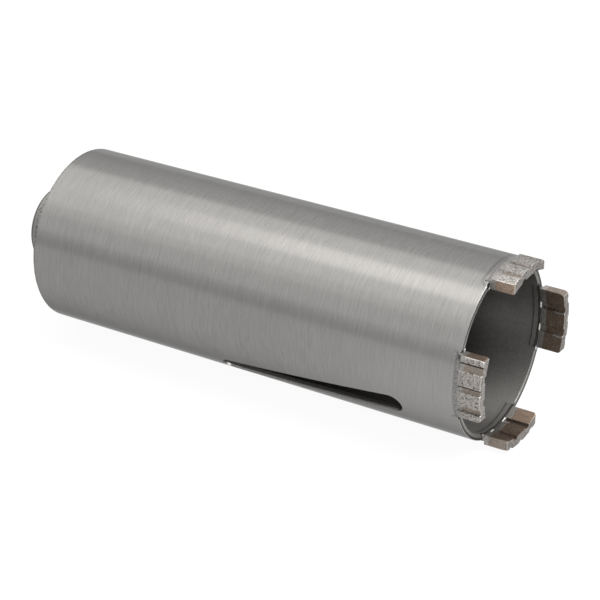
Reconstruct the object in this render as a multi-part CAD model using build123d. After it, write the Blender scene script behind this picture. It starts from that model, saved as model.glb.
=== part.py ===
from build123d import *
import os

# Diamond core bit for dry drilling: a thin steel tube, closed at the back by a turned cap with
# a threaded hub, with ribbed diamond segments welded to its front rim.
#
# Frame: the bit lies on its side as it does on a bench. +X runs along its axis, from the hub's
# rear face at the origin to the cutting end, and +Z is up. Angles are in degrees about +X,
# from the top (+Z) towards -Y. Lengths are in millimetres.

# Tube
tube_diameter = 52.0
tube_wall = 1.75
tube_length = 141.0
rim_chamfer = 0.2

# Cap: a plug that is set into the tube's back and welded there, and its hub
plug_thickness = 6.0
plug_setback = 1.2
plug_clearance = 0.05
plug_chamfer = 0.5
hub_diameter = 24.4
hub_projection = 12.2
hub_edge = 0.8
hub_root_fillet = 1.0

# Thread in the hub, drawn at the minor diameter of M16 x 2
thread_minor_diameter = 13.835
thread_major_diameter = 16.0
thread_lead_in = 0.3

# Two spanner flats, half-way between the segments
flats_across = 22.0
flats_length = 9.0
flats_angle = 135.0

# Helical slots that let dust out and a broken core be pushed loose
slot_count = 2
slot_width = 7.0
slot_length = 61.0
slot_setback = 18.0
slot_front_angle = 118.5
slot_twist_per_mm = 0.314

# Segments: a base layer that is seated on the rim and a diamond layer, pressed in one piece.
# They are welded on within a degree or two of even quarters.
segment_angles = (0, 88.5, 180, 269)
segment_length = 18.4
segment_height = 7.4
segment_outside_step = 1.1
segment_inside_step = 0.1
foot_height = 0.5
tip_edge_break = 0.2
tip_bevel_height = 1.2
tip_bevel_depth = 0.45

# Ribs: the outer face has a groove on the centre line and one on either side of it, and the
# inner face has two that lie between those
outer_groove_spacing = 6.1
inner_groove_spacing = 7.0
groove_floor_width = 1.4
groove_mouth_width = 2.1
outer_groove_depth = 0.45
inner_groove_depth = 0.65

# Worked out from the sizes above
tube_outer = tube_diameter / 2
tube_inner = tube_outer - tube_wall
tube_back_x = hub_projection
rim_x = tube_back_x + tube_length
plug_back_x = tube_back_x + plug_setback
plug_front_x = plug_back_x + plug_thickness
segment_outer = tube_outer + segment_outside_step
segment_inner = tube_inner - segment_inside_step
outer_groove_centres = [-outer_groove_spacing, 0, outer_groove_spacing]
inner_groove_centres = [-inner_groove_spacing / 2, inner_groove_spacing / 2]
past = 2.0


def turned(points):
    """The solid that a closed outline of (x, radius) points sweeps about the axis."""
    outline = Plane.XZ * make_face(Polyline(*points, close=True))
    return revolve(outline, Axis.X, 360)


def slot_cutter():
    """One slot's space: a bar swept on the tube's helix, with a round pin at each end."""
    end_radius = slot_width / 2
    run = slot_length - slot_width
    turn = run * slot_twist_per_mm
    wall_mid = tube_outer - tube_wall / 2
    depth = tube_wall + 2 * past
    route = Helix(pitch=360 / slot_twist_per_mm, height=run, radius=wall_mid, lefthand=True)
    start = Plane(origin=route @ 0, x_dir=(1, 0, 0), z_dir=route % 0)
    bar = sweep(start * Rectangle(depth, slot_width), path=route, is_frenet=True)
    pin = Pos(wall_mid, 0, 0) * Rot(Y=90) * Cylinder(end_radius, depth)
    cutter = bar + pin + Pos(Z=run) * Rot(Z=-turn) * pin
    # Stand the helix's Z axis along +X and its X axis up, with its start at the slot's back
    along_x = Plane(origin=(0, 0, 0), x_dir=(0, 0, 1), z_dir=(1, 0, 0))
    back_x = rim_x - slot_setback - end_radius - run
    return Pos(X=back_x) * Rot(X=slot_front_angle + turn) * along_x.location * cutter


def make_barrel():
    """The tube, with broken edges at its rim and helical slots cut through its wall."""
    back, front = tube_back_x, rim_x
    edge = rim_chamfer
    tube = turned([
        (back, tube_inner + edge), (back + edge, tube_inner), (front - edge, tube_inner),
        (front, tube_inner + edge), (front, tube_outer - edge), (front - edge, tube_outer),
        (back + edge, tube_outer), (back, tube_outer - edge),
    ])
    cutter = slot_cutter()
    for k in range(slot_count):
        tube -= Rot(X=360 * k / slot_count) * cutter
    return tube


def make_cap():
    """The turned cap: a plug with its hub, drilled for the thread and milled with flats."""
    plug_outer = tube_inner - plug_clearance
    hub_outer = hub_diameter / 2
    bore = thread_minor_diameter / 2
    lead = thread_major_diameter / 2 + thread_lead_in
    lead_depth = lead - bore
    body = turned([
        (0, lead), (0, hub_outer - hub_edge), (hub_edge, hub_outer), (plug_back_x, hub_outer),
        (plug_back_x, plug_outer), (plug_front_x - plug_chamfer, plug_outer),
        (plug_front_x, plug_outer - plug_chamfer), (plug_front_x, lead),
        (plug_front_x - lead_depth, bore), (lead_depth, bore),
    ])
    root = [
        edge for edge in body.edges().filter_by(GeomType.CIRCLE)
        if abs(edge.radius - hub_outer) < 1e-3 and abs(edge.center().X - plug_back_x) < 1e-3
    ]
    body = fillet(root, hub_root_fillet)
    waste_height = hub_outer
    waste = Pos(flats_length / 2, 0, flats_across / 2 + waste_height / 2) * Box(
        flats_length, hub_diameter + past, waste_height)
    for side in (0, 180):
        body -= Rot(X=flats_angle + side) * waste
    return body


def height_at(radius, y):
    """The height above the axis of the circle's point at y."""
    return (radius ** 2 - y ** 2) ** 0.5


def groove_outline(y, floor, mouth):
    """A groove's section on the line at y, with its two widths at the floor and mouth radii."""
    z_floor, z_mouth = height_at(floor, y), height_at(mouth, y)
    draft = (groove_mouth_width - groove_floor_width) / 2 / (z_mouth - z_floor)
    outward = 1 if mouth > floor else -1
    z_deep = z_floor - outward * groove_floor_width / 4
    z_clear = z_mouth + outward * past
    half_deep, half_clear = [groove_floor_width / 2 + draft * (z - z_floor) for z in (z_deep, z_clear)]
    corners = [(y - half_deep, z_deep), (y + half_deep, z_deep), (y + half_clear, z_clear),
               (y - half_clear, z_clear)]
    return make_face(Polyline(*corners, close=True))


def groove_cutter(centres, back, floor, mouth):
    """Grooves at their centres, from x = back to the tip, from the floor radius out of the face."""
    if mouth > floor:
        ring = Circle(mouth + past) - Circle(floor)
    else:
        ring = Circle(floor) - Circle(mouth - past)
    grooves = Sketch() + [groove_outline(y, floor, mouth) for y in centres]
    return extrude(Plane.YZ.offset(back) * (ring & grooves), segment_height)


def make_segment():
    """The segment at the top: its foot stands on the rim and fits the tube's wall."""
    base, step, tip = rim_x, rim_x + foot_height, rim_x + segment_height
    edge = tip_edge_break
    ring = turned([
        (base, tube_inner), (step, tube_inner), (step, segment_inner), (tip - edge, segment_inner),
        (tip, segment_inner + edge), (tip, segment_outer - edge), (tip - edge, segment_outer),
        (step, segment_outer), (step, tube_outer), (base, tube_outer),
    ])
    half = segment_length / 2
    shoulder = tip - tip_bevel_height
    outline = make_face(Polyline(
        (base - past, -half), (shoulder, -half), (tip, -half + tip_bevel_depth),
        (tip, half - tip_bevel_depth), (shoulder, half), (base - past, half), close=True))
    segment = ring & extrude(outline, segment_outer + past)
    # The inner grooves run right down to the rim, the outer ones end at the foot's step
    outer_floor = segment_outer - outer_groove_depth
    inner_floor = segment_inner + inner_groove_depth
    segment -= groove_cutter(outer_groove_centres, step, outer_floor, segment_outer)
    segment -= groove_cutter(inner_groove_centres, base, inner_floor, segment_inner)
    return segment


os.makedirs("parts", exist_ok=True)

nodes = {"barrel": make_barrel(), "end_cap": make_cap()}
top_segment = make_segment()
for number, angle in enumerate(segment_angles, 1):
    nodes[f"segment_{number}"] = Rot(X=angle) * top_segment

for name, solid in nodes.items():
    export_step(solid, f"parts/{name}.step")
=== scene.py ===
import math

import bmesh
import bpy
from mathutils import Matrix, Vector, noise
from mathutils.geometry import delaunay_2d_cdt


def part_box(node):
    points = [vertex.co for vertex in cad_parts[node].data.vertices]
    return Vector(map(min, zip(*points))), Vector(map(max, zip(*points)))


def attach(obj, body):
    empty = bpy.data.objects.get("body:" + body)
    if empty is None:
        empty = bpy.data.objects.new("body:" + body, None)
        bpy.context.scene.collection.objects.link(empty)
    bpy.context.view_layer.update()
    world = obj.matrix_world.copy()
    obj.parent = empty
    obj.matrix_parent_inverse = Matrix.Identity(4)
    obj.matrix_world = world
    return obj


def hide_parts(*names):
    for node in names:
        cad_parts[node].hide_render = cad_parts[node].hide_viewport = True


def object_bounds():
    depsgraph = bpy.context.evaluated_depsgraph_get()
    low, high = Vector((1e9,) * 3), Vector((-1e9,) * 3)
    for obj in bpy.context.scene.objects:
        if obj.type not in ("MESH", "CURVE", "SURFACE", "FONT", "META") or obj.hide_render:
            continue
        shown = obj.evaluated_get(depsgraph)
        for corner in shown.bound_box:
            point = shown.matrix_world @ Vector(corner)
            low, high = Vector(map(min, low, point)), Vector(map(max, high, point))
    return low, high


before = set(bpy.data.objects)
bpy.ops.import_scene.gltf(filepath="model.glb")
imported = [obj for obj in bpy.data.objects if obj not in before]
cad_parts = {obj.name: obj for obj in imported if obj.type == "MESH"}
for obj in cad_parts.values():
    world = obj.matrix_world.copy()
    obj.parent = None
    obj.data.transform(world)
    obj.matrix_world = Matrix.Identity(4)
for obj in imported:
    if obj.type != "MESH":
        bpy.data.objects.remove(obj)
cad_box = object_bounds()

# The bit lies on its side, with its axis along X from the hub to the cutting end. Angles are
# in degrees about the axis, from the top (+Z) towards -Y, where the camera stands.
MM = 0.001


# Tube: thin cold-drawn steel, turned and brushed on the outside and left dull inside, with two
# helical slots cut through its wall. The rim is faced square, and its edges are broken.
tube_low, tube_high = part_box("barrel")
back_x, rim_x = tube_low[0], tube_high[0]
tube_r = tube_high[1]
wall = 1.75 * MM
inner_r = tube_r - wall
slot_width, slot_run = 7.0 * MM, 54.0 * MM
slot_front_x = rim_x - 21.5 * MM
slot_back_x = slot_front_x - slot_run
slot_front_angle, slot_twist = 118.5, 0.314 / MM
degree_arc = math.radians(1) * tube_r


class Wire:
    """A value, colour or vector in a shader, which adds and multiplies like a number."""

    def __init__(self, tree, socket):
        self.tree = tree
        self.socket = socket

    def math(self, operation, *values):
        inputs = dict(enumerate((self, *values)))
        return self.tree.node("ShaderNodeMath", {"operation": operation}, inputs)

    def __add__(self, other):
        return self.math("ADD", other)

    __radd__ = __add__

    def __sub__(self, other):
        return self.math("SUBTRACT", other)

    def __rsub__(self, other):
        return (self * -1).math("ADD", other)

    def __mul__(self, other):
        return self.math("MULTIPLY", other)

    __rmul__ = __mul__

    def __abs__(self):
        return self.math("ABSOLUTE")

    def above(self, low, high):
        """0 up to low, 1 from high on, and a smooth rise between."""
        inputs = {"Value": self, "From Min": low, "From Max": high}
        return self.tree.node("ShaderNodeMapRange", {"interpolation_type": "SMOOTHSTEP"}, inputs)

    def part(self, name):
        """The component X, Y or Z of a vector."""
        return self.tree.node("ShaderNodeSeparateXYZ", {}, {"Vector": self}, name)


class Finish:
    """The node tree of a material or of the surround, and the shader that it starts with."""

    def __init__(self, owner, shader="Principled BSDF"):
        self.owner = owner
        owner.use_nodes = True
        self.nodes = owner.node_tree.nodes
        self.links = owner.node_tree.links
        self.shader = self.nodes[shader]

    def node(self, kind, settings=None, inputs=None, output=0):
        """A new node of a kind with its settings and inputs, as the wire from one output."""
        made = self.nodes.new(kind)
        for key, value in (settings or {}).items():
            setattr(made, key, value)
        for key, value in (inputs or {}).items():
            self.feed(made.inputs[key], value)
        return Wire(self, made.outputs[output])

    def feed(self, socket, value):
        """Links a wire to the socket, or sets a number, a vector or a colour on it."""
        if isinstance(value, Wire):
            self.links.new(value.socket, socket)
        elif socket.type == "RGBA":
            socket.default_value = (*value, 1)
        else:
            socket.default_value = value

    def place(self):
        """The point in the bit's own frame, in millimetres."""
        point = self.node("ShaderNodeTexCoord", output="Object")
        return self.node("ShaderNodeVectorMath", {"operation": "SCALE"}, {0: point, "Scale": 1 / MM})

    def stretched(self, x, y, z):
        """The place with its three directions scaled."""
        inputs = {0: self.place(), 1: (x, y, z)}
        return self.node("ShaderNodeVectorMath", {"operation": "MULTIPLY"}, inputs)

    def noise(self, vector, scale=1.0, detail=2.0, roughness=0.5):
        return self.node("ShaderNodeTexNoise", {}, {
            "Vector": vector, "Scale": scale, "Detail": detail, "Roughness": roughness})

    def cells(self, vector, scale):
        """How far the point lies from the middle of its own random cell."""
        return self.node("ShaderNodeTexVoronoi", {}, {"Vector": vector, "Scale": scale}, "Distance")

    def mix(self, share, low, high):
        """A colour that goes from low to high as share goes from 0 to 1."""
        return self.node("ShaderNodeMix", {"data_type": "RGBA"}, {0: share, 6: low, 7: high}, 2)

    def bump(self, height, depth, strength):
        return self.node("ShaderNodeBump", {}, {
            "Height": height, "Distance": depth, "Strength": strength})

    def done(self, **sockets):
        """Feeds the shader: Base_Color=... goes to Base Color. Returns what it belongs to."""
        for key, value in sockets.items():
            self.feed(self.shader.inputs[key.replace("_", " ")], value)
        return self.owner


def finish(name):
    """A new material, still without its finish."""
    return Finish(bpy.data.materials.new(name))


DIRT = (0.03, 0.028, 0.025)
CHAR = (0.02, 0.018, 0.016)
SOOT = (0.015, 0.014, 0.012)


def behind_rim(steel):
    """How far the place lies behind the rim, in millimetres."""
    return rim_x / MM - steel.place().part("X")


def weld_zone(steel, reach, start=None, end=9.6):
    """1 behind a segment, on the tube's last reach millimetres, and 0 elsewhere. It goes as far
    as end to both sides of the segment's middle, and with a start it leaves out what is nearer."""
    place = steel.place()
    side = abs(place.part("Y")).math("MINIMUM", abs(place.part("Z")))
    zone = (1 - side.above(end - 0.3, end + 0.3)) * (1 - behind_rim(steel).above(reach * 0.6, reach))
    return zone if start is None else zone * side.above(start, start + 2)


def spattered(metal, colour, share):
    """A colour with bright drops and black soot over a share of it."""
    drops = 1 - metal.cells(metal.place(), 1.7).above(0.12, 0.28)
    soot = metal.noise(metal.place(), scale=1.3).above(0.54, 0.62)
    colour = metal.mix(drops * share, colour, (0.75, 0.74, 0.72))
    return metal.mix(soot * share, colour, CHAR)


def brushed_steel():
    """The outside, with fine lines that run round the tube, marks of heat and handling,
    and painted light at the front.
    """
    steel = finish("brushed_tube")
    fine = steel.noise(steel.stretched(8, 0.26, 0.26), roughness=0.6)
    lines = steel.noise(steel.stretched(3.4, 0.15, 0.15), detail=3, roughness=0.7)
    bands = steel.noise(steel.stretched(0.2, 0.02, 0.02))
    blotch = steel.noise(steel.stretched(0.06, 0.1, 0.1), detail=3)
    tone = fine * 0.45 + lines * 0.47 + bands * 0.08
    colour = steel.mix(tone.above(0.32, 0.68), (0.21, 0.207, 0.202), (0.278, 0.274, 0.267))
    colour = steel.mix(blotch.above(0.35, 0.7) * 0.3, colour, (0.235, 0.231, 0.224))
    # Painted light makes the front of the tube lighter, below its top
    along, height = steel.place().part("X"), steel.place().part("Z")
    painted_front_light = along.above(98, 148) * (1 - height.above(-2, 16))
    colour = steel.mix(painted_front_light * 0.3, colour, (0.385, 0.379, 0.368))
    # Heat has left a dark line behind each segment, with soot and spatter at the segment's ends
    line_at = 0.95 + 1.15 * height.above(11, 14)
    off_line = abs(behind_rim(steel) + (blotch - 0.5) * 0.8 - line_at)
    heat = (1 - off_line.above(0.1, 0.6)) * weld_zone(steel, 5) * (0.15 + 0.4 * blotch)
    colour = steel.mix(heat, colour, (0.08, 0.077, 0.072))
    colour = spattered(steel, colour, weld_zone(steel, 2.2, 7.2, 10.4) * 0.9)
    # Dirt sits in specks at the tube's back edge, over the cap's weld
    specks = steel.noise(steel.place(), scale=1.4, detail=3, roughness=0.7).above(0.48, 0.56)
    back_edge = 1 - along.above(back_x / MM + 0.25, back_x / MM + 0.75)
    colour = steel.mix(back_edge * specks * 0.75, colour, DIRT)
    return steel.done(
        Base_Color=colour, Metallic=1.0, Roughness=0.15 + 0.1 * lines,
        Specular_Tint=(0.48, 0.48, 0.48),
        Normal=steel.bump(fine * 0.55 + lines * 0.45, 0.028 * MM, 0.8))


def dull_steel():
    """The inside, left as drawn, with streaks along the tube."""
    steel = finish("inner_wall")
    grain = steel.noise(steel.place(), scale=2.0, detail=5, roughness=0.75)
    drawn = steel.noise(steel.stretched(0.05, 1.2, 1.2), detail=3)
    tone = grain.above(0.25, 0.75) * 0.7 + drawn * 0.3
    colour = steel.mix(tone, (0.15, 0.148, 0.142), (0.4, 0.394, 0.384))
    # Painted shade darkens it deep inside, and painted light makes it lighter towards the rim, most of
    # all low down
    behind = behind_rim(steel)
    colour = steel.mix(behind.above(10, 26) * 0.85, colour, (0.1, 0.097, 0.092))
    low_down = 1 - steel.place().part("Z").above(-22, -8)
    painted_rim_light = (1 - behind.above(8, 20)) * (0.17 + 0.31 * low_down)
    colour = steel.mix(painted_rim_light, colour, (0.5, 0.492, 0.478))
    # The weld's root shows behind each segment as a smooth band with a dark line on either side
    colour = steel.mix(weld_zone(steel, 4) * 0.15, colour, (0.09, 0.087, 0.082))
    wander = steel.noise(steel.place(), scale=0.35, detail=3)
    root = behind + (wander - 0.5) * 0.7
    lines = 1 - abs(root - 2.2).math("MINIMUM", abs(root - 0.5)).above(0.1, 0.34)
    band = root.above(0.5, 0.7) * (1 - root.above(1.8, 2.0))
    zone = weld_zone(steel, 3)
    colour = steel.mix(zone * band * 0.2, colour, (0.3, 0.296, 0.288))
    colour = steel.mix(zone * lines * 0.75, colour, SOOT)
    soot = steel.noise(steel.place(), scale=1.1).above(0.46, 0.6)
    colour = steel.mix(weld_zone(steel, 1.5, 7.4) * soot * 0.9, colour, SOOT)
    return steel.done(
        Base_Color=colour, Metallic=1.0, Roughness=0.36 + 0.2 * grain,
        Specular_Tint=(0.5, 0.5, 0.5), Normal=steel.bump(grain, 0.07 * MM, 0.5))


def cut_steel(name, dark, light, rough, marked=None):
    """Bare cut steel. marked is a function that puts marks on its colour."""
    steel = finish(name)
    grain = steel.noise(steel.place(), scale=3.5, detail=4, roughness=0.65)
    colour = steel.mix(grain.above(0.3, 0.7), dark, light)
    if marked:
        colour = marked(steel, grain, colour)
    return steel.done(
        Base_Color=colour, Metallic=1.0, Roughness=rough + 0.15 * grain,
        Specular_Tint=(0.6, 0.6, 0.6), Normal=steel.bump(grain, 0.04 * MM, 0.5))


def sooted(steel, grain, colour):
    """Soot on the rim's broken edges, behind the segments and just beside them."""
    patches = (grain + 0.35).above(0.55, 0.75)
    return steel.mix(weld_zone(steel, 0.6, end=10.4) * patches, colour, (0.012, 0.011, 0.01))


def rim_spatter_and_painted_light(steel, grain, colour):
    """A faced end, made bright low down in front by painted light, and dark towards its outer edge."""
    y, z = steel.place().part("Y"), steel.place().part("Z")
    # Painted light on the lower front of the rim
    colour = steel.mix((y * -1 - z * 0.6).above(8, 20) * 0.75, colour, (0.45, 0.443, 0.43))
    radius = (y * y + z * z).math("SQRT")
    outer_edge = radius.above(tube_r / MM - 0.95, tube_r / MM - 0.6)
    colour = steel.mix(outer_edge * 0.8, colour, (0.03, 0.029, 0.027))
    return spattered(steel, colour, weld_zone(steel, 0.6, 7.2, 10.5) * 0.9)


def painted_slot_glint(steel, grain, colour):
    """A small painted glint on the lip at each slot's back end."""
    glint_at = (slot_back_x - slot_width / 2) / MM + 0.6
    off = abs(steel.place().part("X") - glint_at)
    return steel.mix(1 - off.above(0.2, 0.5), colour, (0.95, 0.94, 0.92))


def at(x, radius, angle):
    """The point at x along the axis, at a radius and an angle."""
    turn = math.radians(angle)
    return Vector((x, -radius * math.sin(turn), radius * math.cos(turn)))


def slot_lines():
    """Each slot's centre line, as its two ends in the unrolled tube's x and arc length."""
    for turn in (0, 180):
        front = Vector((slot_front_x, (slot_front_angle + turn) * degree_arc))
        back = front + Vector((-slot_run, slot_twist * slot_run * degree_arc))
        yield front, back


def slot_ring(front, back, steps=20):
    """The slot's outline in the unrolled tube: two straight sides and two round ends."""
    along = (back - front).normalized()
    across = Vector((-along.y, along.x))
    reach = slot_width / 2
    points = []
    for middle, sign in ((back, 1), (front, -1)):
        for k in range(steps + 1):
            turn = math.pi * k / steps
            points.append(middle + sign * reach * (across * math.cos(turn) + along * math.sin(turn)))
    return points


def slot_offset(point):
    """From the nearest slot's centre line to the point, in the unrolled tube."""
    best = None
    for front, back in slot_lines():
        run = back - front
        share = min(max((point - front).dot(run) / run.length_squared, 0), 1)
        offset = point - front - share * run
        if best is None or offset.length < best.length:
            best = offset
    return best


def unrolled_wall(low_x, high_x):
    """The wall as a flat sheet of x and arc length without the slots: its points and faces."""
    rulings, stations = 360, 28
    points, edges = [], []
    for i in range(rulings + 1):
        arc = i * 360 / rulings * degree_arc
        for j in range(stations + 1):
            points.append(Vector((low_x + (high_x - low_x) * j / stations, arc)))
            if j:
                edges.append((len(points) - 2, len(points) - 1))
    for j in (0, stations):
        edges += [(i * (stations + 1) + j, (i + 1) * (stations + 1) + j) for i in range(rulings)]
    for front, back in slot_lines():
        ring = slot_ring(front, back)
        first = len(points)
        points += ring
        edges += [(first + k, first + (k + 1) % len(ring)) for k in range(len(ring))]
    # The triangulation works in millimetres, and takes points closer than 1e-5 for one
    flat, _, faces, *_ = delaunay_2d_cdt([p / MM for p in points], edges, [], 0, 1e-5, False)
    flat = [p * MM for p in flat]
    kept = []
    for face in faces:
        middle = sum((flat[k] for k in face), Vector((0, 0))) / len(face)
        if slot_offset(middle).length > slot_width / 2:
            kept.append(tuple(face))
    return flat, kept


def border(faces):
    """The edges that belong to one face only."""
    uses = {}
    for face in faces:
        for k in range(len(face)):
            pair = (face[k - 1], face[k])
            uses.setdefault(tuple(sorted(pair)), []).append(pair)
    return [pairs[0] for pairs in uses.values() if len(pairs) == 1]


def piece(name, verts, faces, materials, smooth_angle, kinds=None):
    """A mesh object of the bit, which rides on its one body. kinds gives each face's material."""
    mesh = bpy.data.meshes.new(name)
    bm = bmesh.new()
    made = [bm.verts.new(point) for point in verts]
    for number, corners in enumerate(faces):
        face = bm.faces.new([made[k] for k in corners])
        face.material_index = kinds[number] if kinds else 0
        face.smooth = True
    bmesh.ops.remove_doubles(bm, verts=bm.verts, dist=0.0005 * MM)
    bmesh.ops.recalc_face_normals(bm, faces=bm.faces)
    bm.to_mesh(mesh)
    bm.free()
    for material in materials:
        mesh.materials.append(material)
    mesh.set_sharp_from_angle(angle=math.radians(smooth_angle))
    made_object = bpy.data.objects.new(name, mesh)
    bpy.context.scene.collection.objects.link(made_object)
    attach(made_object, "root")
    return made_object


def make_tube():
    """The wall's sheet rolled round the axis outside and inside, and joined at its borders."""
    # The slots' lips are drawn back by slot_edge outside, and end slot_break under the surface
    rim_edge, slot_edge, slot_break, hair = 0.2 * MM, 0.1 * MM, 0.65 * MM, 1e-7
    low_x, high_x = back_x + rim_edge, rim_x - rim_edge
    flat, sheet = unrolled_wall(low_x, high_x)
    radii = {"outside": tube_r, "break": tube_r - slot_break, "inside": inner_r,
             "face_out": tube_r - rim_edge, "face_in": inner_r + rim_edge}
    verts, index = [], {}

    def vert(k, layer):
        """The point k of the flat sheet on one layer of the tube."""
        if (k, layer) not in index:
            spot = flat[k]
            if layer == "outside" and k in slotted:
                spot = spot + slot_offset(spot).normalized() * slot_edge
            x = spot.x
            if layer.startswith("face"):
                x = back_x if x < (low_x + high_x) / 2 else rim_x
            index[k, layer] = len(verts)
            verts.append(at(x, radii[layer], spot.y / degree_arc))
        return index[k, layer]

    def on_end(k):
        return min(abs(flat[k].x - low_x), abs(flat[k].x - high_x)) < hair

    def on_seam(k):
        return min(flat[k].y, 360 * degree_arc - flat[k].y) < hair

    def is_slot(a, b):
        return not (on_end(a) and on_end(b)) and not (on_seam(a) and on_seam(b))

    open_edges = border(sheet)
    slotted = {k for pair in open_edges if is_slot(*pair) for k in pair}
    steels = {
        "outside": brushed_steel(),
        "inside": dull_steel(),
        "edge": cut_steel("broken_edge", (0.21, 0.207, 0.2), (0.42, 0.413, 0.4), 0.25, sooted),
        "end": cut_steel("faced_end", (0.15, 0.148, 0.142), (0.28, 0.276, 0.267), 0.34, rim_spatter_and_painted_light),
        "slot": cut_steel("slot_wall", (0.04, 0.039, 0.037), (0.11, 0.107, 0.103), 0.4),
        "lip": cut_steel("slot_lip", (0.13, 0.128, 0.123), (0.3, 0.295, 0.286), 0.3, painted_slot_glint)}
    order = list(steels)
    faces, kinds = [], []

    def add(look, *corners):
        faces.append(corners)
        kinds.append(order.index(look))

    for face in sheet:
        add("outside", *[vert(k, "outside") for k in face])
        add("inside", *[vert(k, "inside") for k in reversed(face)])
    for a, b in open_edges:
        if on_end(a) and on_end(b):
            layers, looks = ("outside", "face_out", "face_in", "inside"), ("edge", "end", "edge")
        elif is_slot(a, b):
            layers, looks = ("outside", "break", "inside"), ("lip", "slot")
        else:
            continue
        for look, upper, lower in zip(looks, layers, layers[1:]):
            add(look, vert(b, upper), vert(a, upper), vert(a, lower), vert(b, lower))
    tube = piece("tube", verts, faces, list(steels.values()), 25, kinds)
    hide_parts("barrel")


make_tube()


# Cap: one turned piece, a plug that is set into the tube and a hub behind it, tapped M16 x 2
# right through, with two spanner flats milled on the hub and a weld bead round the plug.
plug_back = back_x + 1.2 * MM


def turned_steel():
    """Steel with the fine rings of the lathe."""
    steel = finish("turned_cap")
    rings = steel.noise(steel.stretched(6, 0.05, 0.05), detail=3)
    grain = steel.noise(steel.place(), scale=3, detail=4)
    colour = steel.mix(rings * 0.6 + grain * 0.4, (0.15, 0.148, 0.143), (0.27, 0.266, 0.257))
    # Dirt has stayed at the hub's rear edge and in a line of specks before it
    along = steel.place().part("X")
    specks = steel.noise(steel.place(), scale=1.4, detail=3, roughness=0.7).above(0.5, 0.58)
    edge = along.above(0.3, 0.7) * (1 - along.above(0.9, 1.3))
    line = along.above(1.4, 1.7) * (1 - along.above(2.6, 3.2)) * specks
    colour = steel.mix(edge * 0.75, colour, DIRT)
    colour = steel.mix(line * 0.8, colour, DIRT)
    return steel.done(
        Base_Color=colour, Metallic=1.0, Roughness=0.32 + 0.15 * grain,
        Normal=steel.bump(rings, 0.03 * MM, 0.5))


def lathe(stations, angles):
    """A closed turned body. Each station gives an x and a radius, or a radius at each angle."""
    verts, faces = [], []
    for x, radius in stations:
        for angle in angles:
            verts.append(at(x, radius(angle) if callable(radius) else radius, angle))
    count = len(angles)
    for i in range(len(stations)):
        below, above = i * count, (i + 1) % len(stations) * count
        for k in range(count):
            after = (k + 1) % count
            faces.append((below + k, below + after, above + after, above + k))
    return verts, faces


def make_cap():
    """The cap, turned from its rear face over the hub and the plug and back through the bore."""
    plug_front = plug_back + 6.0 * MM
    plug_r, plug_edge = inner_r - 0.05 * MM, 0.5 * MM
    hub_r, hub_edge, root = 12.2 * MM, 0.8 * MM, 1.0 * MM
    minor_r, major_r, pitch, turn_steps = 6.9175 * MM, 8.0 * MM, 2.0 * MM, 16
    mouth_r, seat_r = 8.3 * MM, 8.6 * MM
    flat_half, flat_x, flat_angle = 11.0 * MM, 9.0 * MM, 135
    corner = math.degrees(math.acos(flat_half / hub_r))
    angles = sorted({k * 2.0 for k in range(180)} | {
        side + sign * corner for side in (flat_angle, flat_angle + 180) for sign in (-1, 1)})

    def milled(radius):
        """The radius with the two spanner flats cut away."""
        def at_angle(angle):
            off = (angle - flat_angle + 90) % 180 - 90
            if abs(off) > corner:
                return radius
            return min(radius, flat_half / math.cos(math.radians(off)))
        return at_angle

    def thread(x):
        """The tapped hole at x: the ridge climbs one pitch in each turn."""
        cone = mouth_r - min(x, plug_front - x)
        root_half, flank = 0.12, 0.64

        def at_angle(angle):
            phase = (x / pitch + angle / 360) % 1
            ridge = min(max((abs(phase - 0.5) * 2 - root_half) / flank, 0), 1)
            return max(major_r - (major_r - minor_r) * ridge, cone)
        return at_angle

    stations = [(0, seat_r), (0, milled(hub_r - hub_edge)), (hub_edge, milled(hub_r)),
                (flat_x, milled(hub_r)), (flat_x, hub_r), (plug_back - root, hub_r)]
    for k in range(1, 7):
        turn = math.radians(15 * k)
        x = plug_back - root + root * math.sin(turn)
        stations.append((x, hub_r + root * (1 - math.cos(turn))))
    stations += [(plug_back, plug_r), (plug_front - plug_edge, plug_r),
                 (plug_front, plug_r - plug_edge), (plug_front, mouth_r)]
    steps = round(plug_front / pitch * turn_steps)
    for k in range(1, steps + 1):
        x = plug_front * (1 - k / steps)
        stations.append((x, thread(x)))
    cap = piece("cap", *lathe(stations, angles), [turned_steel()], 28)
    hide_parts("end_cap")


make_cap()


# Segments: curved bars of metal powder and diamond, pressed and sintered on a base layer without
# diamond. The outer ribs and the tips are ground grey, the grooves and inner faces stay brown.
def sintered(name, dark, light, pits, rough, depth=0.1):
    """Sintered metal with open pores and glints of diamond, as many of both as pits says."""
    metal = finish(name)
    grain = metal.noise(metal.place(), scale=2.1, detail=6, roughness=0.8)
    cloud = metal.noise(metal.place(), scale=0.5, detail=3)
    pores = metal.cells(metal.place(), 1.5)
    specks = metal.cells(metal.place(), 2.4)
    where = metal.noise(metal.place(), scale=0.7, detail=1)
    hole = (1 - pores.above(0.2, 0.38)) * where.above(0.43, 0.53) * pits
    glint = (1 - specks.above(0.14, 0.26)) * (1 - where.above(0.46, 0.54)) * pits
    colour = metal.mix(grain.above(0.34, 0.66) * 0.8 + cloud * 0.2, dark, light)
    colour = metal.mix(glint * 0.8, colour, (0.62, 0.6, 0.57))
    colour = metal.mix(hole * 0.85, colour, (0.03, 0.026, 0.022))
    return metal.done(
        Base_Color=colour, Metallic=0.97, Roughness=rough + 0.2 * grain,
        Specular_Tint=(0.5, 0.5, 0.5),
        Normal=metal.bump(grain * 0.5 - hole * 0.5, depth * MM, 0.8))


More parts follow.
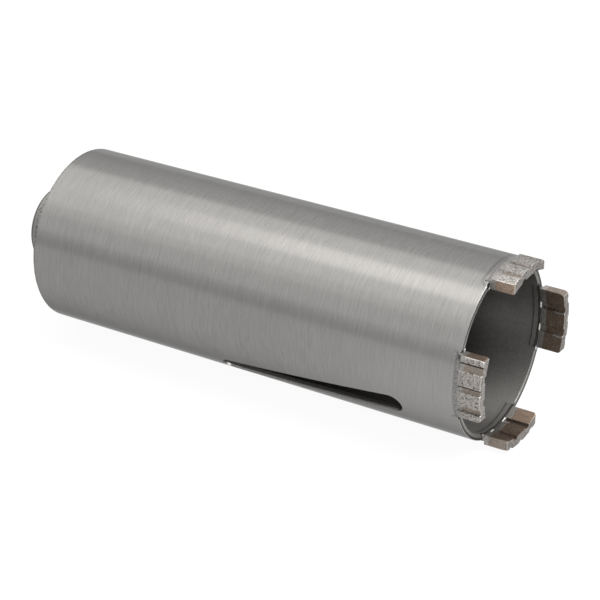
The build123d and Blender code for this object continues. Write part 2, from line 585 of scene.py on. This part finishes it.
segment_metals = [
    sintered("ground_rib", (0.095, 0.089, 0.084), (0.51, 0.482, 0.456), 1.0, 0.3, 0.17),
    sintered("ground_tip", (0.12, 0.112, 0.106), (0.64, 0.605, 0.572), 1.0, 0.3, 0.17),
    # Painted highlight on the edges and on the inner grooves' lips
    sintered("painted_highlight", (0.34, 0.325, 0.31), (0.66, 0.64, 0.615), 0.5, 0.2),
    sintered("pressed_groove", (0.14, 0.12, 0.103), (0.32, 0.276, 0.237), 0.3, 0.38),
    # Painted shade in the outer and inner grooves' corners
    sintered("painted_corner_shade", (0.03, 0.025, 0.02), (0.09, 0.075, 0.061), 0.0, 0.5),
    sintered("painted_groove_shade", (0.055, 0.043, 0.034), (0.15, 0.12, 0.094), 0.0, 0.45),
    sintered("dark_face", (0.082, 0.061, 0.047), (0.24, 0.183, 0.143), 0.4, 0.42),
    # Lighter copies of dark_face, with painted light
    sintered("pale_face", (0.14, 0.12, 0.103), (0.34, 0.29, 0.25), 0.4, 0.4),
    sintered("painted_lit_face", (0.215, 0.164, 0.127), (0.47, 0.354, 0.274), 0.4, 0.4),
    sintered("base_layer", (0.168, 0.162, 0.154), (0.367, 0.355, 0.34), 0.25, 0.36),
    # Lighter copies of base_layer, with painted light
    sintered("pale_base", (0.27, 0.257, 0.24), (0.54, 0.515, 0.48), 0.25, 0.36),
    sintered("end_base", (0.205, 0.195, 0.182), (0.41, 0.39, 0.365), 0.25, 0.36),
]
outer_r, inner_face_r = 27.09 * MM, 24.15 * MM
half_length, height, foot, base_layer = 9.2 * MM, 7.4 * MM, 0.5 * MM, 1.85 * MM
outer_depth, inner_depth, groove_slope = 0.45 * MM, 0.65 * MM, 0.22 * MM

# The four segments, from the one at the top. angle is where each is welded on. A groove is its
# centre, its width at the mouth, and the widths of the lines of painted shade along its low and
# its high side. bevels are the height and depth that the tip's low and high corner have lost.
# ends and inside say how the two ends and the inner face look, from the low side to the high
# one: the pressed face, or a lighter copy of it with painted light. worn_end is how deep the low
# end is worn, and highlight_lip how wide the inner grooves' lips are, which take a painted
# highlight.
segment_table = [
    dict(angle=0,
         outer_grooves=[(-6.1, 2.0, 0, 0.15), (0.4, 1.8, 0, 0.2), (5.6, 1.7, 0, 0.15)],
         inner_grooves=[(-3.5, 2.1, 0, 0.3), (3.5, 2.1, 0, 0.3)],
         bevels=((0.9, 0.6), (0.5, 0.3)),
         ends=("pale_face", "painted_lit_face"), inside=("dark_face", "dark_face"), worn_end=0.5),
    dict(angle=88.5,
         outer_grooves=[(-6.36, 2.7, 0.62, 0), (-0.2, 2.0, 0.6, 0), (5.86, 1.95, 0.3, 0.07)],
         inner_grooves=[(-3.5, 2.1, 0, 0.3), (3.5, 2.1, 0, 0.3)],
         bevels=((0.5, 0.25), (0.9, 0.7)),
         ends=("dark_face", "pale_face"), inside=("dark_face", "dark_face"), tip="ground_tip"),
    dict(angle=180,
         outer_grooves=[(-6.1, 2.1, 0, 0.3), (0, 2.1, 0, 0.3), (6.1, 2.1, 0, 0.3)],
         inner_grooves=[(-3.6, 2.3, 0.2, 0), (3.5, 2.1, 0, 0.75)],
         bevels=((1.9, 0.45), (0.8, 0.5)),
         ends=("pale_face", "pale_face"), inside=("dark_face", "painted_lit_face")),
    dict(angle=269,
         outer_grooves=[(-6.1, 2.1, 0, 0.3), (0, 2.1, 0, 0.3), (6.1, 2.1, 0, 0.3)],
         inner_grooves=[(-3.45, 2.2, 0, 0.55), (3.6, 2.1, 0, 0.5)],
         bevels=((0.5, 0.3), (0.75, 0.8)),
         ends=("dark_face", "pale_face"), inside=("dark_face", "dark_face"), highlight_lip=0.45),
]


def sunk(y, grooves):
    """How deep the grooves are at y, between 0 on a rib and 1 on a groove's floor."""
    deepest = 0
    for centre, mouth, *_ in grooves:
        inside = mouth / 2 - abs(y / MM - centre)
        deepest = max(deepest, min(inside * MM / groove_slope, 1))
    return deepest


def in_shaded_corner(y, grooves):
    """True in a groove's corner, where shade is painted."""
    for centre, mouth, low_shade, high_shade in grooves:
        from_low = y / MM - centre + mouth / 2
        if 0 < from_low < low_shade or 0 < mouth - from_low < high_shade:
            return True
    return False


def spread(marks, step):
    """Values that go through all the marks in even steps no longer than step."""
    values = []
    for low, high in zip(marks, marks[1:]):
        count = max(1, math.ceil((high - low) / step - 1e-6))
        values += [low + (high - low) * k / count for k in range(count)]
    return values + [marks[-1]]


def make_segment(number, angle, outer_grooves, inner_grooves, bevels, ends, inside, worn_end=0,
                 highlight_lip=0, tip="ground_rib"):
    """One segment as a block of points, bent to the tube's round and turned to its place."""
    edge, step, foot_step, hair = 0.11 * MM, 0.22 * MM, 0.25 * MM, 1e-7
    # How far out the bevels and the worn end start, how far down the bevelled part goes from the
    # tip, and from what height on the inner grooves' lips are worn
    bevel_start, wear_start, bevelled, lip_from = 7.3 * MM, 6.6 * MM, 1.9 * MM, 4.3 * MM
    grain_depth, grain_per_m = 0.035 * MM, 1400
    marks = {-half_length, -half_length + edge, half_length - edge, half_length}
    for centre, mouth, low_shade, high_shade in outer_grooves + inner_grooves:
        for off in (0, groove_slope / MM, low_shade):
            marks.add((centre - mouth / 2 + off) * MM)
        for off in (0, groove_slope / MM, high_shade):
            marks.add((centre + mouth / 2 - off) * MM)
    marks |= {(groove[0] - groove[1] / 2 - highlight_lip) * MM for groove in inner_grooves}
    # Columns along the segment, layers from its inner to its outer face as shares of the
    # thickness, and rows from the rim to the tip, each with True where it is full width
    ys = spread(sorted(marks), step)
    layers = [0, 0.04, 0.12, 0.3, 0.5, 0.7, 0.88, 0.96, 1]
    body_marks = [foot, foot + edge, base_layer, height - bevelled, height - edge, height]
    rows = [(z, False) for z in spread([0, foot], foot_step)]
    rows += [(z, True) for z in spread(body_marks, step)]
    last = (len(ys) - 1, len(layers) - 1, len(rows) - 1)
    turn = Matrix.Rotation(math.radians(angle), 4, "X")
    grid, verts = {}, []

    def spot(i, j, k):
        """The point of column i, layer j and row k."""
        y, (z, full) = ys[i], rows[k]
        out_r, in_r = (outer_r, inner_face_r) if full else (tube_r, inner_r)
        bevel_height, bevel_depth = bevels[y > 0]
        cut = max(0.0, z / MM - height / MM + bevel_height) / bevel_height * bevel_depth * MM
        cut *= max(0.0, abs(y) - bevel_start) / (half_length - bevel_start)
        trim = 0.0
        for gap in (half_length - abs(y), height - z, z - foot if full else edge):
            if gap < edge:
                trim += edge - math.sqrt(max(edge * edge - (edge - gap) ** 2, 0))
        rough = worn = 0
        if full:
            place = Vector((y, z, number * 3 * MM)) * grain_per_m
            rough = grain_depth * (0.5 + 0.5 * noise.noise(place))
            worn = worn_end * MM * (max(0, -y - wear_start) / (half_length - wear_start)) ** 2
        out_depth = outer_depth if full else 0
        in_depth = inner_face_r + inner_depth - in_r
        short = y - math.copysign(cut, y)
        top = math.sqrt(out_r ** 2 - short ** 2) - out_depth * sunk(y, outer_grooves)
        top -= trim + rough + worn
        low = math.sqrt(in_r ** 2 - short ** 2) + in_depth * sunk(y, inner_grooves) + trim + rough
        return turn @ Vector((rim_x + z, -short, low + (top - low) * layers[j]))

    def corner(i, j, k):
        if (i, j, k) not in grid:
            grid[i, j, k] = len(verts)
            verts.append(spot(i, j, k))
        return grid[i, j, k]

    def on_lip(middle):
        """True on an inner groove's slope and on the strip before it, which take a painted highlight."""
        before = [groove[0] - groove[1] / 2 - middle / MM for groove in inner_grooves]
        return 0 < sunk(middle, inner_grooves) < 1 or any(0 < off < highlight_lip for off in before)

    def metal_of(side, i, j, k):
        """The name of the metal that a face shows."""
        middle, z = (ys[i] + ys[min(i + 1, last[0])]) / 2, rows[k][0]
        upper = middle > 0
        if side == "inner":
            face_metal = inside[middle / MM > inner_grooves[1][0]]
            # Painted shade in the inner grooves' corners
            if rows[k][1] and in_shaded_corner(middle, inner_grooves):
                return "painted_groove_shade"
            # Under a lighter face the base layer takes its lighter copy, with painted light
            if z < base_layer - hair:
                return "base_layer" if face_metal == inside[0] else "pale_base"
            # Painted highlight on the inner grooves' lips near the tip
            if highlight_lip and z > lip_from and on_lip(middle):
                return "painted_highlight"
            return "dark_face" if sunk(middle, inner_grooves) == 1 else face_metal
        # Painted shade in the outer grooves' corners
        if side == "outer" and rows[k][1] and in_shaded_corner(middle, outer_grooves):
            return "painted_corner_shade"
        # On lighter end faces the base layer takes its lighter copy, with painted light
        if z < base_layer - hair:
            return "end_base" if side == "end" and ends[upper] != "dark_face" else "base_layer"
        # The end columns, the top row and the tip's edges take a painted highlight
        at_end = i in (0, last[0] - 1)
        if side == "outer":
            if sunk(middle, outer_grooves) == 1:
                return "pressed_groove"
            return "painted_highlight" if at_end or k == last[2] - 1 else "ground_rib"
        if side == "tip":
            return "painted_highlight" if j in (0, last[1] - 1) or at_end else tip
        return "painted_highlight" if k == last[2] - 1 else ends[upper]

    faces, kinds = [], []

    def add(metal, *corners):
        faces.append([corner(*indices) for indices in corners])
        kinds.append(metal)

    for i in range(last[0]):
        for k in range(last[2]):
            for j, side in ((0, "inner"), (last[1], "outer")):
                add(metal_of(side, i, j, k), (i, j, k), (i + 1, j, k), (i + 1, j, k + 1), (i, j, k + 1))
    for i in range(last[0]):
        for j in range(last[1]):
            for k, side in ((0, "base"), (last[2], "tip")):
                add(metal_of(side, i, j, min(k, last[2] - 1)),
                    (i, j, k), (i + 1, j, k), (i + 1, j + 1, k), (i, j + 1, k))
    for j in range(last[1]):
        for k in range(last[2]):
            for i in (0, last[0]):
                add(metal_of("end", i, j, k), (i, j, k), (i, j + 1, k), (i, j + 1, k + 1), (i, j, k + 1))
    order = [metal.name for metal in segment_metals]
    segment = piece(f"segment_{number}_metal", verts, faces, segment_metals, 35,
                    [order.index(name) for name in kinds])
    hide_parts(f"segment_{number}")


for number, row in enumerate(segment_table, 1):
    make_segment(number, **row)


# Welds: a laser weld joins each segment's foot to the rim, as a narrow rippled bead outside and
# drops inside of pale metal that paints glints, with soot beside it. A fillet weld runs round the
# plug at the tube's back.
def weld_metal(name, dark, light, soot):
    """Weld metal, with spatter and soot over a share of it, most of all at a bead's ends."""
    metal = finish(name)
    grain = metal.noise(metal.place(), scale=2.4, detail=5, roughness=0.7)
    patch = metal.noise(metal.place(), scale=1.3)
    colour = metal.mix(grain.above(0.3, 0.7), dark, light)
    if soot:
        colour = spattered(metal, colour, soot * (0.15 + 0.85 * weld_zone(metal, 3, 7.2)))
        bead_end = weld_zone(metal, 3, 7.7) * patch.above(0.3, 0.5)
        colour = metal.mix(bead_end * soot, colour, CHAR)
    return metal.done(
        Base_Color=colour, Metallic=0.95, Roughness=0.26 + 0.25 * patch,
        Specular_Tint=(0.6, 0.6, 0.6), Normal=metal.bump(grain, 0.07 * MM, 0.6))


def bead(middle, half_angle, section, uneven, seed, step):
    """A weld bead along an arc. section gives (x, radius, share that swells) from foot to foot,
    and seed moves the bead to another place in the noise."""
    verts, faces = [], []
    count = math.ceil(2 * half_angle / step)
    closed = half_angle >= 180
    foot_radius = section[0][1]
    for k in range(count + (0 if closed else 1)):
        angle = middle - half_angle + 2 * half_angle * k / count
        turn = math.radians(angle)
        spot = Vector((math.cos(turn) * 26, math.sin(turn) * 26, seed * 7.0))
        swell = 1 + uneven * (noise.noise(spot * 1.3) + 0.5 * noise.noise(spot * 2.9))
        if not closed and k in (0, count):
            swell = 0.1
        shift = 0.12 * MM * uneven * noise.noise(spot * 1.1 + Vector((0, 0, 50)))
        for x, radius, share in section:
            verts.append(at(x + shift * share, foot_radius + (radius - foot_radius) * swell, angle))
    width = len(section)
    for k in range(count):
        here, after = k * width, ((k + 1) % count if closed else k + 1) * width
        for n in range(width):
            other = (n + 1) % width
            faces.append((here + n, here + other, after + other, after + n))
    if not closed:
        faces += [tuple(range(width)), tuple(count * width + n for n in range(width))]
    return verts, faces


def hump(low_x, high_x, radius, rise, seat):
    """The section of a bead that stands up by rise on a surface, with its feet seat under it."""
    points = []
    for k in range(9):
        turn = math.pi * k / 8
        x = (low_x + high_x) / 2 - (high_x - low_x) / 2 * math.cos(turn)
        points.append((x, radius + (rise + seat) * math.sin(turn) - seat, math.sin(turn)))
    return points


def make_rim_welds():
    verts, faces, kinds = [], [], []

    def add(made, kind):
        first = len(verts)
        verts.extend(made[0])
        faces.extend(tuple(first + k for k in face) for face in made[1])
        kinds.extend([kind] * len(made[1]))

    bead_half, drop_half, end_half, end_angle = 20.6, 2.3, 1.2, 22.6
    ridge = hump(rim_x - 0.85 * MM, rim_x + 0.46 * MM, tube_r, 0.14 * MM, 0.03 * MM)
    drop = [(rim_x + x * MM, inner_r + rise * MM, share) for x, rise, share in (
        (-0.1, -0.02, 0), (0.06, -0.03, 1), (0.2, 0.1, 1), (0.24, 0.3, 1), (0.08, 0.45, 1))]
    for number, row in enumerate(segment_table):
        middle = row["angle"]
        add(bead(middle, bead_half, ridge, 1.0, number, 0.5), 0)
        # Drops sit at the inner grooves' feet and beside the segment's ends, pale to paint glints
        drops = [(math.degrees(math.asin(groove[0] * MM / inner_r)), drop_half)
                 for groove in row["inner_grooves"]]
        drops.append((-end_angle, end_half))
        if middle < 90:
            drops.append((end_angle, end_half))
        for n, (off, half_angle) in enumerate(drops):
            add(bead(middle + off, half_angle, drop, 0.3, 20 + 5 * number + n, 0.4), 1)
    metals = [weld_metal("laser_weld", (0.13, 0.127, 0.122), (0.32, 0.314, 0.304), 0.8),
              weld_metal("weld_drop_glint", (0.7, 0.69, 0.67), (0.92, 0.91, 0.9), 0.0)]
    welds = piece("rim_welds", verts, faces, metals, 60, kinds)


def make_cap_weld():
    fillet = [(plug_back + x * MM, inner_r + rise * MM, share) for x, rise, share in (
        (0.02, 0.02, 0), (-0.8, 0.02, 0), (-0.75, -0.25, 1), (-0.6, -0.55, 1), (-0.35, -0.85, 1),
        (0.02, -1.05, 1))]
    metal = weld_metal("fillet_weld", (0.13, 0.125, 0.12), (0.34, 0.33, 0.32), 0.3)
    weld = piece("cap_weld", *bead(0, 180, fillet, 0.12, 30, 0.75), [metal], 60)


make_rim_welds()
make_cap_weld()


# The room: a pale table, a white surround, and soft lamps above the bit, in front of it and low
# down on the far side.
def make_room():
    floor_z = cad_box[0][2]
    table = bpy.data.meshes.new("table")
    bm = bmesh.new()
    for x, y in ((-3, -3), (3, -3), (3, 3), (-3, 3)):
        bm.verts.new((x, y, floor_z))
    bm.faces.new(bm.verts)
    bm.to_mesh(table)
    bm.free()
    table_object = bpy.data.objects.new("table", table)
    bpy.context.scene.collection.objects.link(table_object)
    paint = finish("table_paint")
    paint.nodes.remove(paint.shader)
    rays = [paint.node("ShaderNodeLightPath", output=f"Is {ray} Ray")
            for ray in ("Camera", "Glossy", "Transmission")]
    seen = sum(rays).math("MINIMUM", 1.0)
    matt = paint.node("ShaderNodeBsdfDiffuse", {}, {"Color": (0.9, 0.9, 0.9)})
    glow = paint.node("ShaderNodeEmission")
    blend = paint.node("ShaderNodeMixShader", {}, {"Fac": seen * 0.94, 1: matt, 2: glow})
    paint.feed(paint.nodes["Material Output"].inputs["Surface"], blend)
    table.materials.append(paint.owner)

    # White all round, a little darker low down on the camera's side, where the room is
    world = Finish(bpy.data.worlds.new("surround"), "Background")
    way = world.node("ShaderNodeTexCoord", output="Generated")
    room = (way.part("Y") * -1).above(0.4, 0.75) * (1 - way.part("Z").above(0.02, 0.26))
    world.done(Color=world.mix(room, (1, 1, 1), (0.76, 0.76, 0.76)), Strength=1.0)
    bpy.context.scene.world = world.owner


def add_lamp(name, spot, facing, size, strength, colour=(1.0, 0.975, 0.945)):
    """A soft rectangular lamp at a spot, warm white, whose back points the way of facing."""
    data = bpy.data.lights.new(name, "AREA")
    data.shape = "RECTANGLE"
    data.size, data.size_y = size
    data.energy = strength * math.pi * size[0] * size[1]
    data.color = colour
    lamp = bpy.data.objects.new(name, data)
    bpy.context.scene.collection.objects.link(lamp)
    back = Vector(facing).normalized()
    side = (Vector((1, 0, 0)) - back.x * back).normalized()
    lamp.matrix_world = Matrix((side, back.cross(side), back)).transposed().to_4x4()
    lamp.location = spot


make_room()
add_lamp("wide_softbox", (-0.15, -0.03, 0.71), (0, -0.04, 1), (1.1, 0.93), 0.84)
add_lamp("softbox_core", (0.03, -0.067, 0.68), (0, -0.1, 1), (0.7, 0.26), 0.95)
add_lamp("softbox_edge", (-0.16, -0.56, 0.64), (0, -0.66, 0.75), (1.1, 0.18), 0.28)
add_lamp("side_fill", (-0.17, -0.7, 0.51), (0, -0.85, 0.62), (1.1, 0.55), 0.27)
add_lamp("front_light", (0.5, 0.06, 0.61), (0.5, 0.08, 0.86), (0.55, 0.55), 5.2)
add_lamp("far_fill", (-0.17, 0.69, 0.52), (0, 0.8, 0.6), (1.1, 0.6), 0.18, (1, 1, 1))
add_lamp("far_low", (-0.33, 0.75, 0.09), (0, 1, 0), (1.1, 0.2), 0.5, (1, 1, 1))


def make_camera():
    """The photograph's camera, fitted to the tube's outlines: where it stands and its lens."""
    azimuth, elevation = math.radians(31.76), math.radians(27.2)
    focal_px, image_px, sensor = 2123.6, 600, 36
    across, up_by, away = -54.94 * MM, 13.39 * MM, 579.5 * MM
    level = math.cos(elevation)
    right = Vector((math.cos(azimuth), math.sin(azimuth), 0))
    forward = Vector((-math.sin(azimuth) * level, math.cos(azimuth) * level, -math.sin(elevation)))
    up = right.cross(forward)
    data = bpy.data.cameras.new("camera")
    data.sensor_width = sensor
    data.lens = focal_px / image_px * sensor
    data.clip_start = 0.01
    camera = bpy.data.objects.new("camera", data)
    bpy.context.scene.collection.objects.link(camera)
    camera.matrix_world = Matrix((right, up, -forward)).transposed().to_4x4()
    camera.location = Vector((rim_x, 0, 0)) + across * right + up_by * up - away * forward
    bpy.context.scene.camera = camera


make_camera()
bpy.context.scene.view_settings.view_transform = "Standard"
